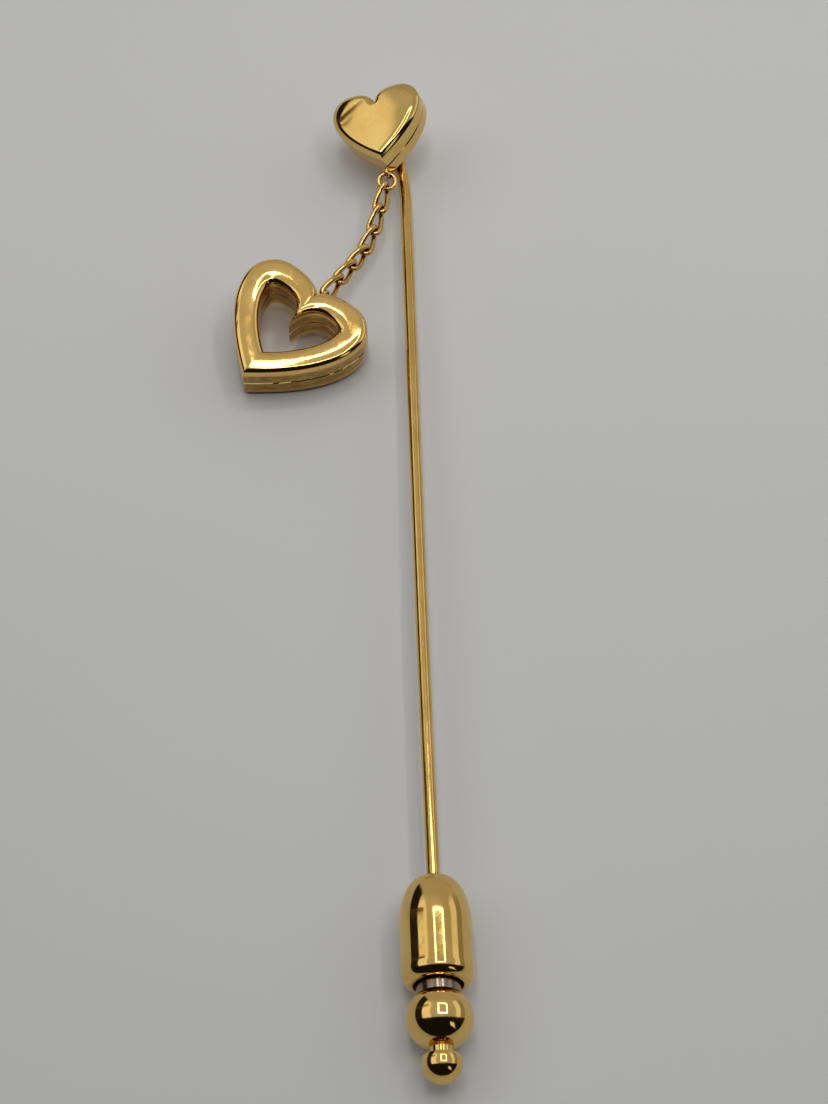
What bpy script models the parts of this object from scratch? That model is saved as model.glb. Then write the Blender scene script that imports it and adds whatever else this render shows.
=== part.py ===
"""Stick pin: a puffed heart head on a long wire stem, an open heart charm hung from the head by a
short twisted chain, and a barrel clutch with sprung locking balls that grips the stem.

The pin lies on a table at z = 0. The stem runs along Y, with the hearts at +Y and the clutch at -Y.
The origin is on the table under the middle of the part's box. Lengths are in metres.
"""

import math

import bmesh
import bpy
from mathutils import Matrix, Vector
from mathutils.geometry import interpolate_bezier

MM = 0.001

# ---- where the part lies: the working frame has its origin at the clutch's mouth ----
FRAME_SHIFT = Vector((5.598, -27.761, 0.0)) * MM

# ---- stem ----
STEM_RADIUS = 0.475 * MM
STEM_TIP_RADIUS = 0.07 * MM
STEM_INSIDE = 9.6 * MM
STEM_TIP_LENGTH = 1.6 * MM
STEM_BOW = (0.0, 26.0, -0.05), (0.30, 46.0, 1.95), (0.38, 60.4, 1.56)
STEM_BEND = (0.42, 62.3, 1.50)
STEM_BACK = (0.55, 1.2), (0.40, 2.6), (0.28, 3.9), (0.20, 5.0)

# ---- clutch: distances run from its mouth towards its knob ----
AXIS_HEIGHT = 2.53 * MM
BARREL_RADIUS = 2.53 * MM
BARREL_WALL = 0.35 * MM
BARREL_MOUTH = 0.45 * MM
BARREL_FLAT = 1.0 * MM
BARREL_DOME = 3.5 * MM
BARREL_END = 8.4 * MM
BARREL_CORNER = 0.75 * MM
BARREL_CORNER_LENGTH = 1.05 * MM
BARREL_HOLE = 0.78 * MM
FIT = 0.03 * MM
STEM_BORE = 0.53 * MM
BUSH_FLANGE = 1.03 * MM
BUSH_START = 0.50 * MM
BUSH_LIP = 0.30 * MM
CONE_SLOPE = math.tan(math.radians(12))
CONE_START = 1.6 * MM
CONE_SMALL = 1.20 * MM
CONE_END = 4.2 * MM
CONE_TOP = 1.16 * MM
CONE_GAP = 0.06 * MM
BALL_RADIUS = 0.42 * MM
BALL_OFFSET = 0.905 * MM
BALL_STATION = 2.33 * MM
BALL_COUNT = 3
BALL_HOLE_DEPTH = 1.6 * MM
BALL_HOLE_OFFSET = 1.0 * MM
CAGE_RADIUS = 1.08 * MM
CAGE_START = 1.7 * MM
CAGE_END = 3.3 * MM
CAGE_TAPER = 1.45 * MM
FLANGE_RADIUS = 2.08 * MM
FLANGE_START = 4.45 * MM
FLANGE_END = 4.85 * MM
TUBE_RADIUS = 1.55 * MM
TUBE_END = 10.5 * MM
COLLAR_START = 7.55 * MM
COLLAR_END = 8.07 * MM
COLLAR_GAP = 0.07 * MM
SPRING_WIRE = 0.12 * MM
SPRING_RADIUS = 1.86 * MM
SPRING_TURNS = 4.5
KNOB_CENTRE = 10.80 * MM
KNOB_RADIUS = 2.33 * MM
KNOB_HALF_LENGTH = 2.26 * MM
KNOB_SOCKET_END = 11.0 * MM
KNOB_LIP = 0.84 * MM
NECK_RADIUS = 0.78 * MM
NECK_JOINT = 13.38 * MM
FINIAL_TOP = 13.60 * MM
FINIAL_CENTRE = 14.05 * MM
FINIAL_RADIUS = 1.415 * MM
RIVET_RADIUS = 0.27 * MM
RIVET_HEAD = 0.9 * MM
RIVET_HEAD_HEIGHT = 0.35 * MM
RIVET_START = 10.62 * MM
RIVET_END = 14.2 * MM

# ---- hearts: an outline's tip is at its own origin and its lobes are at +Y ----
SHELL = 0.28 * MM
SEAM = 0.015 * MM
SMALL_HEART = {"width": 7.52, "height": 6.75, "cleft": 1.15, "lobe": 0.56, "shoulder": 0.74,
               "round": 0.58, "belly": 0.44, "tip": 0.29}
SMALL_THICK = 3.52 * MM
SMALL_EDGE = 0.63 * MM
SMALL_RIM = 0.12 * MM
SMALL_CROWN = 0.0019 / MM ** 3
SMALL_LIFT = 0.12 * MM
SMALL_TIP_SHARE = 0.62
SMALL_BLEND = 5.0 * MM
SMALL_PLACE = Vector((-0.52, 64.44, 1.84)) * MM
SMALL_TURN = (5.1, 9.7, -19.1)
OPEN_HEART = {"width": 11.38, "height": 10.14, "cleft": 1.02, "lobe": 0.58, "shoulder": 0.76,
              "round": 0.52, "belly": 0.45, "tip": 0.27}
OPEN_HOLE = {"width": 7.00, "height": 5.47, "cleft": 2.40, "lobe": 0.57, "shoulder": 0.88,
             "round": 0.65, "belly": 0.38, "tip": 0.30}
HOLE_OFFSET = 2.58 * MM
OPEN_THICK = 3.81 * MM
OPEN_WALL = 1.20 * MM
OPEN_SQUARENESS = 2.9
OPEN_ARC = (180, 165, 145, 115, 90, 65, 35, 15, 0)
OPEN_PLACE = Vector((-13.03, 44.0, 0.0)) * MM
OPEN_TURN = (-40.8, 6.4, 4.8)

# ---- eyes, ring and chain ----
EYE_RADIUS = 0.42 * MM
EYE_WIRE = 0.14 * MM
HEAD_EYE = -0.57 * MM
CHARM_EYE = 10.06 * MM
RING_RADIUS = 0.69 * MM
RING_WIRE = 0.18 * MM
RING_TWIST = math.radians(22)
LINK_COUNT = 6
LINK_PITCH = 2.04 * MM
LINK_THIN = .23 * MM
LINK_WIDE = .22 * MM
LINK_HALF_WIDTH = .49 * MM
LINK_TWIST = math.radians(100), math.radians(10)
LINK_STEPS = 26
LINK_SIDES = 8
LINK_SQUARENESS = .55
RING_PITCH = 2 * (RING_RADIUS - RING_WIRE)
CHAIN_START_PULL = Vector((-1.1, -3.9, -0.95)) * MM
CHAIN_END_PULL = Vector((2.1, 3.45, -0.7)) * MM

TURN_STEPS = 32


def clear_scene():
    for ob in list(bpy.data.objects):
        bpy.data.objects.remove(ob, do_unlink=True)


def new_collection(name):
    made = bpy.data.collections.new(name)
    bpy.context.scene.collection.children.link(made)
    return made


def metal(name, colour, roughness):
    made = bpy.data.materials.new(name)
    made.use_nodes = True
    shader = made.node_tree.nodes["Principled BSDF"]
    shader.inputs["Base Color"].default_value = (*colour, 1.0)
    shader.inputs["Metallic"].default_value = 1.0
    shader.inputs["Roughness"].default_value = roughness
    return made


def gold(name):
    return metal(name, (0.83, 0.58, 0.22), 0.14)


def steel(name):
    return metal(name, (0.30, 0.29, 0.28), 0.28)


def brass(name):
    return metal(name, (0.72, 0.56, 0.25), 0.3)


def add(name, data, parent, material, collection):
    ob = bpy.data.objects.new(name, data)
    collection.objects.link(ob)
    ob.parent = parent
    if material:
        data.materials.append(material)
    return ob


def empty(name, parent, place, turn=None):
    """An empty at place in its parent's frame, turned by a 3 x 3 matrix."""
    ob = bpy.data.objects.new(name, None)
    ob.empty_display_size = MM
    PARTS.objects.link(ob)
    ob.parent = parent
    frame = Matrix.Translation(place)
    if turn is not None:
        frame = frame @ turn.to_4x4()
    ob.matrix_local = frame
    return ob


def turned(name, profile, parent, material, steps=TURN_STEPS, closed=True):
    """A turned piece. The profile's points are (radius, distance from the mouth), outer side first."""
    mesh = bpy.data.meshes.new(name)
    points = [(radius, 0.0, along) for radius, along in reversed(profile)]
    edges = [(n, n + 1) for n in range(len(points) - 1)]
    if closed:
        edges.append((len(points) - 1, 0))
    mesh.from_pydata(points, edges, [])
    ob = add(name, mesh, parent, material, PARTS)
    screw = ob.modifiers.new("Turn", "SCREW")
    screw.axis = "Z"
    screw.angle = 2 * math.pi
    screw.steps = steps
    screw.render_steps = steps
    screw.use_smooth_shade = True
    screw.use_merge_vertices = True
    screw.merge_threshold = 1e-6
    return ob


def arc(centre, radii, start, end, count):
    """Points (radius, distance) on an ellipse's arc, with its angles in degrees from the radius."""
    found = []
    for n in range(count + 1):
        angle = math.radians(start + (end - start) * n / count)
        found.append((centre[0] + radii[0] * math.cos(angle), centre[1] + radii[1] * math.sin(angle)))
    return found


def wire(name, points, radius, parent, material, closed=False, sides=2, thin=None):
    """A round wire along points. thin gives each point's share of the full radius."""
    curve = bpy.data.curves.new(name, "CURVE")
    curve.dimensions = "3D"
    curve.bevel_depth = radius
    curve.bevel_resolution = sides
    curve.use_fill_caps = True
    spline = curve.splines.new("POLY")
    spline.points.add(len(points) - 1)
    for n, point in enumerate(points):
        spline.points[n].co = (*point, 1.0)
        spline.points[n].radius = thin[n] if thin else 1.0
    spline.use_cyclic_u = closed
    spline.use_smooth = True
    return add(name, curve, parent, material, PARTS)


def torus(name, radius, thickness, parent, material, turn, segments=20):
    """A round ring in its parent's frame, lying in the XY plane before turn."""
    bpy.ops.mesh.primitive_torus_add(
        major_radius=radius, minor_radius=thickness, major_segments=segments, minor_segments=8
    )
    made = bpy.context.object
    mesh = made.data
    mesh.name = name
    bpy.data.objects.remove(made, do_unlink=True)
    mesh.transform(turn)
    mesh.shade_smooth()
    return add(name, mesh, parent, material, PARTS)


def sphere(name, radius, centre, parent, material):
    bm = bmesh.new()
    bmesh.ops.create_uvsphere(bm, u_segments=16, v_segments=10, radius=radius)
    mesh = bpy.data.meshes.new(name)
    bm.to_mesh(mesh)
    bm.free()
    mesh.shade_smooth()
    ob = add(name, mesh, parent, material, PARTS)
    ob.location = centre
    return ob


def turn_of(angles):
    """Yaw about Z, then the lobes raised by a tilt, then a roll about the heart's own length."""
    yaw, tilt, roll = (math.radians(a) for a in angles)
    return (
        Matrix.Rotation(yaw, 3, "Z") @ Matrix.Rotation(tilt, 3, "X") @ Matrix.Rotation(roll, 3, "Y")
    )


# ---------------------------------------------------------------- hearts


def heart_outline(shape, count):
    """A heart's points in order from its cleft, over the right lobe, to the tip and back."""
    half = shape["width"] / 2
    height = shape["height"]
    bottom = height - shape["cleft"]
    lobe = Vector((half * shape["lobe"], height))
    side = Vector((half, height * shape["shoulder"]))
    rise = height - side.y
    arcs = [
        (Vector((0, bottom)), Vector((half * 0.04, bottom + shape["cleft"] * 0.6)),
         Vector((lobe.x * 0.4, height)), lobe),
        (lobe, Vector((lobe.x + (half - lobe.x) * shape["round"], height)),
         Vector((half, side.y + rise * shape["round"])), side),
        (side, Vector((half, side.y * (1 - shape["belly"]))),
         Vector((half * shape["tip"], height * shape["tip"] * 0.42)), Vector((0, 0))),
    ]
    right = []
    for start, pull, push, end in arcs:
        right += [Vector(p) for p in interpolate_bezier(start, pull, push, end, count + 1)[:-1]]
    left = [Vector((-p.x, p.y)) for p in reversed(right[1:])]
    return [p.to_2d() * MM for p in right + [Vector((0.0, 0.0))] + left]


def drawn_in(outline, distance):
    """The outline moved inwards along its own normals."""
    found = []
    for n, point in enumerate(outline):
        along = outline[(n + 1) % len(outline)] - outline[n - 1]
        inward = Vector((along.y, -along.x)).normalized()
        found.append(point + inward * distance)
    return found


def shell(name, rows, seam, parent, material, cap=None):
    """A stamped shell from closed rows of points, with Solidify for its wall on the inside.

    The rows start at the seam's outer edge. seam is the seam's height, and cap a middle point."""
    bm = bmesh.new()
    made = [[bm.verts.new(p) for p in row] for row in rows]
    for low, high in zip(made, made[1:]):
        for n in range(len(low)):
            m = (n + 1) % len(low)
            bm.faces.new((low[n], low[m], high[m], high[n]))
    if cap is not None:
        middle = bm.verts.new(cap)
        last = made[-1]
        for n in range(len(last)):
            bm.faces.new((last[n], last[(n + 1) % len(last)], middle))
    bmesh.ops.recalc_face_normals(bm, faces=bm.faces)
    highest = max(bm.faces, key=lambda f: abs(f.calc_center_median().z - seam))
    if highest.normal.z * (highest.calc_center_median().z - seam) < 0:
        bmesh.ops.reverse_faces(bm, faces=bm.faces)
    mesh = bpy.data.meshes.new(name)
    bm.to_mesh(mesh)
    bm.free()
    mesh.shade_smooth()
    ob = add(name, mesh, parent, material, PARTS)
    wall = ob.modifiers.new("Wall", "SOLIDIFY")
    wall.thickness = SHELL
    wall.offset = -1.0
    wall.use_even_offset = True
    wall.use_quality_normals = True
    return ob


def crown(off):
    """The height that the small face's dome adds, off away from its middle."""
    fall = max(0.0, min(1.0, 0.5 - off.y / SMALL_BLEND))
    run = off.y * (1 + (SMALL_TIP_SHARE - 1) * fall * fall * (3 - 2 * fall))
    return SMALL_LIFT - SMALL_CROWN * (off.x ** 2 + run ** 2) ** 2


def small_half(name, way, parent, material):
    """One stamping of the puffed heart. way is 1 for the front and -1 for the back."""
    outline = heart_outline(SMALL_HEART, 6)
    middle = Vector((0.0, SMALL_HEART["height"] * 0.55 * MM))
    seam = SMALL_THICK / 2
    wall = seam - SMALL_EDGE - SMALL_RIM

    def row(points, height):
        return [(p.x, p.y, seam + way * height) for p in points]

    rows = [row(outline, SEAM), row(outline, wall)]
    for angle in (30, 60, 90):
        inset = SMALL_EDGE * (1 - math.cos(math.radians(angle)))
        rise = math.sin(math.radians(angle))
        points = drawn_in(outline, inset)
        heights = [wall + (SMALL_EDGE + crown(p - middle)) * rise for p in points]
        rows.append([(p.x, p.y, seam + way * height) for p, height in zip(points, heights)])
    flat = drawn_in(outline, SMALL_EDGE)
    for share in (0.62, 0.28):
        points = [middle + (p - middle) * share for p in flat]
        heights = [wall + SMALL_EDGE + crown(p - middle) for p in points]
        rows.append([(p.x, p.y, seam + way * height) for p, height in zip(points, heights)])
    cap = (middle.x, middle.y, seam + way * (wall + SMALL_EDGE + SMALL_LIFT))
    return shell(name, rows, seam, parent, material, cap)


def open_rows(way):
    """Closed rows over one half of the open heart, from its outer wall to its inner wall."""
    outer = heart_outline(OPEN_HEART, 7)
    inner = [p + Vector((0, HOLE_OFFSET)) for p in heart_outline(OPEN_HOLE, 7)]
    seam = OPEN_THICK / 2
    steps = [(0.0, SEAM)]
    power = 2 / OPEN_SQUARENESS
    for angle in OPEN_ARC:
        cos = math.cos(math.radians(angle))
        share = (1 + math.copysign(abs(cos) ** power, cos)) / 2
        rise = (seam - OPEN_WALL) * abs(math.sin(math.radians(angle))) ** power
        steps.append((share, OPEN_WALL + rise))
    steps.append((1.0, SEAM))
    return [
        [(*(a.lerp(b, share)), seam + way * height) for a, b in zip(outer, inner)]
        for share, height in steps
    ]


def open_half(name, way, parent, material):
    """One stamping of the open heart: an outer wall, a rounded face and an inner wall."""
    return shell(name, open_rows(way), OPEN_THICK / 2, parent, material)


# ---------------------------------------------------------------- chain


def chain_path(start, end, length):
    """Points along a hanging curve of that length between two places, found by halving."""

    def curve(slack):
        return interpolate_bezier(
            start, start + CHAIN_START_PULL * slack, end + CHAIN_END_PULL * slack, end, 120
        )

    def measure(points):
        return sum((b - a).length for a, b in zip(points, points[1:]))

    low, high = 0.2, 3.0
    for _ in range(40):
        middle = (low + high) / 2
        if measure(curve(middle)) < length:
            low = middle
        else:
            high = middle
    return curve(high)


def walk(points, distance):
    """The place that lies a distance along a row of points."""
    for a, b in zip(points, points[1:]):
        step = (b - a).length
        if distance <= step:
            return a.lerp(b, distance / step)
        distance -= step
    return points[-1].copy()


def link_mesh(name):
    """An oval link of flattened wire, twisted along its length, with its pivot at the origin."""
    reach = LINK_PITCH / 2 + LINK_THIN + FIT / 2
    start, end = LINK_TWIST
    flat = []
    for n in range(LINK_STEPS):
        angle = 2 * math.pi * n / LINK_STEPS
        cos, sin = math.cos(angle), math.sin(angle)
        flat.append(Vector((reach * math.copysign(abs(cos) ** LINK_SQUARENESS, cos),
                            LINK_HALF_WIDTH * math.copysign(abs(sin) ** LINK_SQUARENESS, sin))))
    bm = bmesh.new()
    rings = []
    for n, (along, across) in enumerate(flat):
        run = (flat[(n + 1) % LINK_STEPS] - flat[n - 1]).normalized()
        twist = start + (end - start) * (along + reach) / (2 * reach)
        over = Vector((0, math.sin(twist), math.cos(twist)))
        level = Vector((0, math.cos(twist), -math.sin(twist)))
        middle = Vector((LINK_PITCH / 2 + along, 0, 0)) + level * across
        out = Vector((run.y, 0, 0)) - level * run.x
        ring = []
        for m in range(LINK_SIDES):
            angle = 2 * math.pi * m / LINK_SIDES
            side = out * math.cos(angle) * LINK_THIN
            ring.append(bm.verts.new(middle + side + over * math.sin(angle) * LINK_WIDE))
        rings.append(ring)
    for low, high in zip(rings, rings[1:] + rings[:1]):
        for n in range(LINK_SIDES):
            m = (n + 1) % LINK_SIDES
            bm.faces.new((low[n], low[m], high[m], high[n]))
    bmesh.ops.recalc_face_normals(bm, faces=bm.faces)
    mesh = bpy.data.meshes.new(name)
    bm.to_mesh(mesh)
    bm.free()
    mesh.shade_smooth()
    return mesh


def frame_along(start, end, up):
    """A turn whose X runs from start to end and whose Z is as near to up as it can be."""
    x = (end - start).normalized()
    z = (up - x * up.dot(x)).normalized()
    y = z.cross(x)
    return Matrix((x, y, z)).transposed()


def build_chain(base, head, charm_turn, charm_place):
    """The ring and the links from the head's eye to the charm's eye, each on its own pivot."""
    eye_drop = EYE_RADIUS - EYE_WIRE
    head_turn = head.matrix_local.to_3x3()
    start = head.matrix_local @ Vector((0, HEAD_EYE - eye_drop, SMALL_THICK / 2))
    end = charm_turn @ Vector((0, CHARM_EYE + eye_drop, OPEN_THICK / 2)) + charm_place
    length = RING_PITCH + LINK_COUNT * LINK_PITCH
    points = chain_path(start, end, length)
    cuts = [0.0] + [RING_PITCH + n * LINK_PITCH for n in range(LINK_COUNT + 1)]
    pivots = [walk(points, cut) for cut in cuts]
    ups = head_turn.col[2], charm_turn.col[2]
    for n, (a, b) in enumerate(zip(pivots, pivots[1:])):
        up = ups[0].lerp(ups[1], n / LINK_COUNT)
        frame = frame_along(a, b, up)
        if n == 0:
            pivot = empty("ring_pivot", base, a, frame)
            shift = Matrix.Rotation(-RING_TWIST, 4, "X") @ Matrix.Translation((RING_PITCH / 2, 0, 0))
            torus("top_jump_ring", RING_RADIUS, RING_WIRE, pivot, gold("ring_gold"), shift, 24)
            continue
        pivot = empty(f"link_{n}_pivot", base, a, frame)
        name = f"chain_link_{n}"
        add(name, link_mesh(name), pivot, gold(f"link_{n}_gold"), PARTS)
    return pivots[-1]


# ---------------------------------------------------------------- stem


def build_stem(base, head):
    """The pin's wire: a point inside the clutch, a slight bow, and a bend onto the head's back."""
    under = -(STEM_RADIUS + FIT)
    back = [head.matrix_local @ Vector((x * MM, y * MM, under)) for x, y in STEM_BACK]
    mouth = Vector((0, 0, AXIS_HEIGHT))
    start = mouth + Vector((0, 1.0 * MM, 0))
    pull, push, end = (Vector(place) * MM for place in STEM_BOW)
    bow = interpolate_bezier(start, mouth + pull, push, end, 12)
    bend = interpolate_bezier(
        end, Vector(STEM_BEND) * MM, back[0] - (back[1] - back[0]) * 1.2, back[0], 7)
    tip = mouth - Vector((0, STEM_INSIDE, 0))
    shoulder = tip + Vector((0, STEM_TIP_LENGTH, 0))
    middle = tip.lerp(shoulder, 0.55)
    points = [tip, middle, shoulder, *bow, *bend[1:], *back[1:]]
    thin = [STEM_TIP_RADIUS / STEM_RADIUS, 0.68] + [1.0] * (len(points) - 2)
    return wire("stem", points, STEM_RADIUS, base, gold("stem_gold"), sides=4, thin=thin)


# ---------------------------------------------------------------- clutch


def build_barrel(axis):
    dome = arc((BARREL_FLAT, BARREL_MOUTH + BARREL_DOME),
               (BARREL_RADIUS - BARREL_FLAT, -BARREL_DOME), 90, 0, 8)
    corner = arc((BARREL_RADIUS - BARREL_CORNER, BARREL_END - BARREL_CORNER_LENGTH),
                 (BARREL_CORNER, BARREL_CORNER_LENGTH), 0, 90, 5)
    inside = BARREL_RADIUS - BARREL_WALL
    inner_dome = arc((BARREL_FLAT, BARREL_MOUTH + BARREL_DOME),
                     (inside - BARREL_FLAT, BARREL_WALL - BARREL_DOME), 0, 90, 8)
    outline = [(BARREL_HOLE, BARREL_MOUTH), *dome, *corner,
               (BARREL_RADIUS - BARREL_CORNER, COLLAR_END + FIT), (inside, COLLAR_END + FIT),
               *inner_dome, (BARREL_HOLE, BARREL_MOUTH + BARREL_WALL)]
    turned("clutch_barrel", outline, axis, gold("barrel_gold"), 40)


def build_bush(axis):
    """The guide in the barrel's mouth that the stem slides through."""
    neck = BARREL_HOLE - FIT
    seat = BARREL_MOUTH + BARREL_WALL + FIT
    lip = seat + BUSH_LIP
    turned("clutch_entry_bush",
           [(neck, BUSH_START), (neck, seat), (BUSH_FLANGE, seat), (BUSH_FLANGE, lip),
            (STEM_BORE, lip), (STEM_BORE, BUSH_START)],
           axis, brass("bush_brass"), 24)


def cone_radius(along):
    return CONE_SMALL + (along - CONE_START) * CONE_SLOPE


def build_cone(axis):
    """The hardened sleeve whose taper wedges the locking balls onto the stem."""
    dome_end = BARREL_MOUTH + BARREL_DOME
    reach = BARREL_DOME - BARREL_WALL
    spread = BARREL_RADIUS - BARREL_WALL - BARREL_FLAT
    outside = []
    for n in range(6):
        along = CONE_TOP + (dome_end - CONE_TOP) * n / 5
        bulge = math.sqrt(1 - ((dome_end - along) / reach) ** 2)
        outside.append((BARREL_FLAT + spread * bulge - CONE_GAP, along))
    turned("clutch_lock_cone",
           [*outside, (outside[-1][0], CONE_END), (cone_radius(CONE_END), CONE_END),
            (cone_radius(CONE_TOP), CONE_TOP)],
           axis, steel("cone_steel"))


def build_plunger(axis):
    """The ball cage, spring flange and tube, in one turned piece with radial holes for the balls."""
    tube = turned("clutch_plunger",
                  [(CAGE_RADIUS, CAGE_START), (CAGE_RADIUS, CAGE_END), (CAGE_TAPER, FLANGE_START),
                   (FLANGE_RADIUS, FLANGE_START), (FLANGE_RADIUS, FLANGE_END),
                   (TUBE_RADIUS, FLANGE_END), (TUBE_RADIUS, TUBE_END), (STEM_BORE, TUBE_END),
                   (STEM_BORE, CAGE_START)],
                  axis, steel("plunger_steel"))
    for n in range(BALL_COUNT):
        angle = 2 * math.pi * n / BALL_COUNT
        bm = bmesh.new()
        bmesh.ops.create_cone(bm, cap_ends=True, segments=16, radius1=BALL_RADIUS + FIT,
                              radius2=BALL_RADIUS + FIT, depth=BALL_HOLE_DEPTH)
        mesh = bpy.data.meshes.new(f"ball_hole_{n + 1}")
        bm.to_mesh(mesh)
        bm.free()
        cutter = add(f"ball_hole_{n + 1}", mesh, axis, None, CUTTERS)
        cutter.matrix_local = (
            Matrix.Rotation(angle, 4, "Z")
            @ Matrix.Translation((BALL_HOLE_OFFSET, 0, BALL_STATION))
            @ Matrix.Rotation(math.pi / 2, 4, "Y")
        )
        cutter.hide_render = True
        cutter.display_type = "WIRE"
        cut = tube.modifiers.new(f"Ball hole {n + 1}", "BOOLEAN")
        cut.operation = "DIFFERENCE"
        cut.object = cutter


def build_balls(axis):
    for n in range(BALL_COUNT):
        angle = 2 * math.pi * n / BALL_COUNT
        centre = (BALL_OFFSET * math.cos(angle), BALL_OFFSET * math.sin(angle), BALL_STATION)
        sphere(f"clutch_locking_ball_{n + 1}", BALL_RADIUS, centre, axis,
               steel(f"ball_{n + 1}_steel"))


def build_spring(axis):
    start = FLANGE_END + SPRING_WIRE + FIT
    end = COLLAR_START - SPRING_WIRE - FIT
    steps = 14
    count = round(SPRING_TURNS * steps)
    points = []
    for n in range(count + 1):
        angle = 2 * math.pi * n / steps
        points.append((SPRING_RADIUS * math.cos(angle), SPRING_RADIUS * math.sin(angle),
                       start + (end - start) * n / count))
    wire("clutch_spring", points, SPRING_WIRE, axis, steel("spring_steel"), sides=1)


def build_collar(axis):
    """The ring held in the barrel's rolled end, which guides the plunger and stops the spring."""
    outside = BARREL_RADIUS - BARREL_WALL - FIT
    inside = TUBE_RADIUS + COLLAR_GAP
    turned("clutch_end_collar",
           [(outside, COLLAR_START), (outside, COLLAR_END), (inside, COLLAR_END),
            (inside, COLLAR_START)],
           axis, brass("collar_brass"))


def build_knob(axis):
    """The large bead that is pulled, with a socket for the plunger and a waisted neck."""
    socket = TUBE_RADIUS + FIT
    first = -math.degrees(math.acos(socket / KNOB_RADIUS))
    last = math.degrees(math.acos(KNOB_LIP / KNOB_RADIUS))
    bead = arc((0.0, KNOB_CENTRE), (KNOB_RADIUS, KNOB_HALF_LENGTH), first, last, 14)
    waist = (NECK_RADIUS, bead[-1][1] + KNOB_LIP - NECK_RADIUS)
    turned("clutch_knob",
           [*bead, waist, (NECK_RADIUS, NECK_JOINT), (RIVET_RADIUS + FIT, NECK_JOINT),
            (RIVET_RADIUS + FIT, KNOB_SOCKET_END), (socket, KNOB_SOCKET_END)],
           axis, gold("knob_gold"))


def build_finial(axis):
    """The small flat-topped bead that ends the knob."""
    edge = math.degrees(math.asin((FINIAL_TOP - FINIAL_CENTRE) / FINIAL_RADIUS))
    bead = arc((0.0, FINIAL_CENTRE), (FINIAL_RADIUS, FINIAL_RADIUS), edge, 90, 9)
    bottom = [(0.0, FINIAL_CENTRE + FINIAL_RADIUS)]
    hole = RIVET_RADIUS + FIT
    joint = NECK_JOINT + FIT
    turned("clutch_finial",
           [(hole, joint), (NECK_RADIUS, joint), (NECK_RADIUS, FINIAL_TOP), *bead[:-1], *bottom,
            (0.0, RIVET_END + FIT), (hole, RIVET_END + FIT), (hole, joint)],
           axis, gold("finial_gold"), 28, closed=False)


def build_rivet(axis):
    """The headed pin that holds both beads on the plunger."""
    shoulder = RIVET_START + RIVET_HEAD_HEIGHT
    turned("knob_rivet",
           [(0.0, RIVET_START), (RIVET_HEAD, RIVET_START), (RIVET_HEAD, shoulder),
            (RIVET_RADIUS, shoulder), (RIVET_RADIUS, RIVET_END), (0.0, RIVET_END)],
           axis, brass("rivet_brass"), 16, closed=False)


# ---------------------------------------------------------------- assembly


def build_head(base):
    head = empty("head_frame", base, SMALL_PLACE, turn_of(SMALL_TURN))
    small_half("head_heart_front_shell", 1, head, gold("head_front_gold"))
    small_half("head_heart_back_shell", -1, head, gold("head_back_gold"))
    eye = Matrix.Translation((0, HEAD_EYE, SMALL_THICK / 2)) @ Matrix.Rotation(math.pi / 2, 4, "Y")
    torus("head_eye", EYE_RADIUS, EYE_WIRE, head, gold("head_eye_gold"), eye)
    return head


def charm_drop(turn):
    """The height of the charm's lowest point over its frame, once it is turned."""
    return min((turn @ Vector(point)).z for row in open_rows(-1) for point in row)


def build_charm(base, turn, place, pivot):
    """The open heart and its eye, on the pivot of the last link."""
    hinge = empty("charm_pivot", base, pivot, turn)
    frame = empty("charm_frame", hinge, turn.inverted() @ (place - pivot))
    open_half("open_heart_front_shell", 1, frame, gold("charm_front_gold"))
    open_half("open_heart_back_shell", -1, frame, gold("charm_back_gold"))
    eye = Matrix.Translation((0, CHARM_EYE, OPEN_THICK / 2)) @ Matrix.Rotation(math.pi / 2, 4, "Y")
    torus("open_heart_eye", EYE_RADIUS, EYE_WIRE, frame, gold("charm_eye_gold"), eye)


def build_clutch(base):
    axis = empty("clutch_axis", base, Vector((0, 0, AXIS_HEIGHT)), Matrix.Rotation(math.pi / 2, 3, "X"))
    build_barrel(axis)
    build_bush(axis)
    build_cone(axis)
    build_collar(axis)
    build_plunger(axis)
    build_balls(axis)
    build_spring(axis)
    build_knob(axis)
    build_finial(axis)
    build_rivet(axis)


clear_scene()
PARTS = new_collection("stick_pin")
CUTTERS = new_collection("cutters")


def main():
    base = empty("pin_frame", None, FRAME_SHIFT)
    head = build_head(base)
    build_stem(base, head)
    charm_turn = turn_of(OPEN_TURN)
    charm_place = OPEN_PLACE - Vector((0, 0, charm_drop(charm_turn)))
    pivot = build_chain(base, head, charm_turn, charm_place)
    build_charm(base, charm_turn, charm_place, pivot)
    build_clutch(base)


main()
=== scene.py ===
"""Stick pin on a pale table: a puffed heart head, an open heart charm on a twisted chain, and a
barrel clutch. Every visible piece is built here at full smoothness, in the place of its CAD node."""

import math
import bmesh
import bpy
from mathutils import Matrix, Vector, noise
from mathutils.geometry import interpolate_bezier


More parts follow.
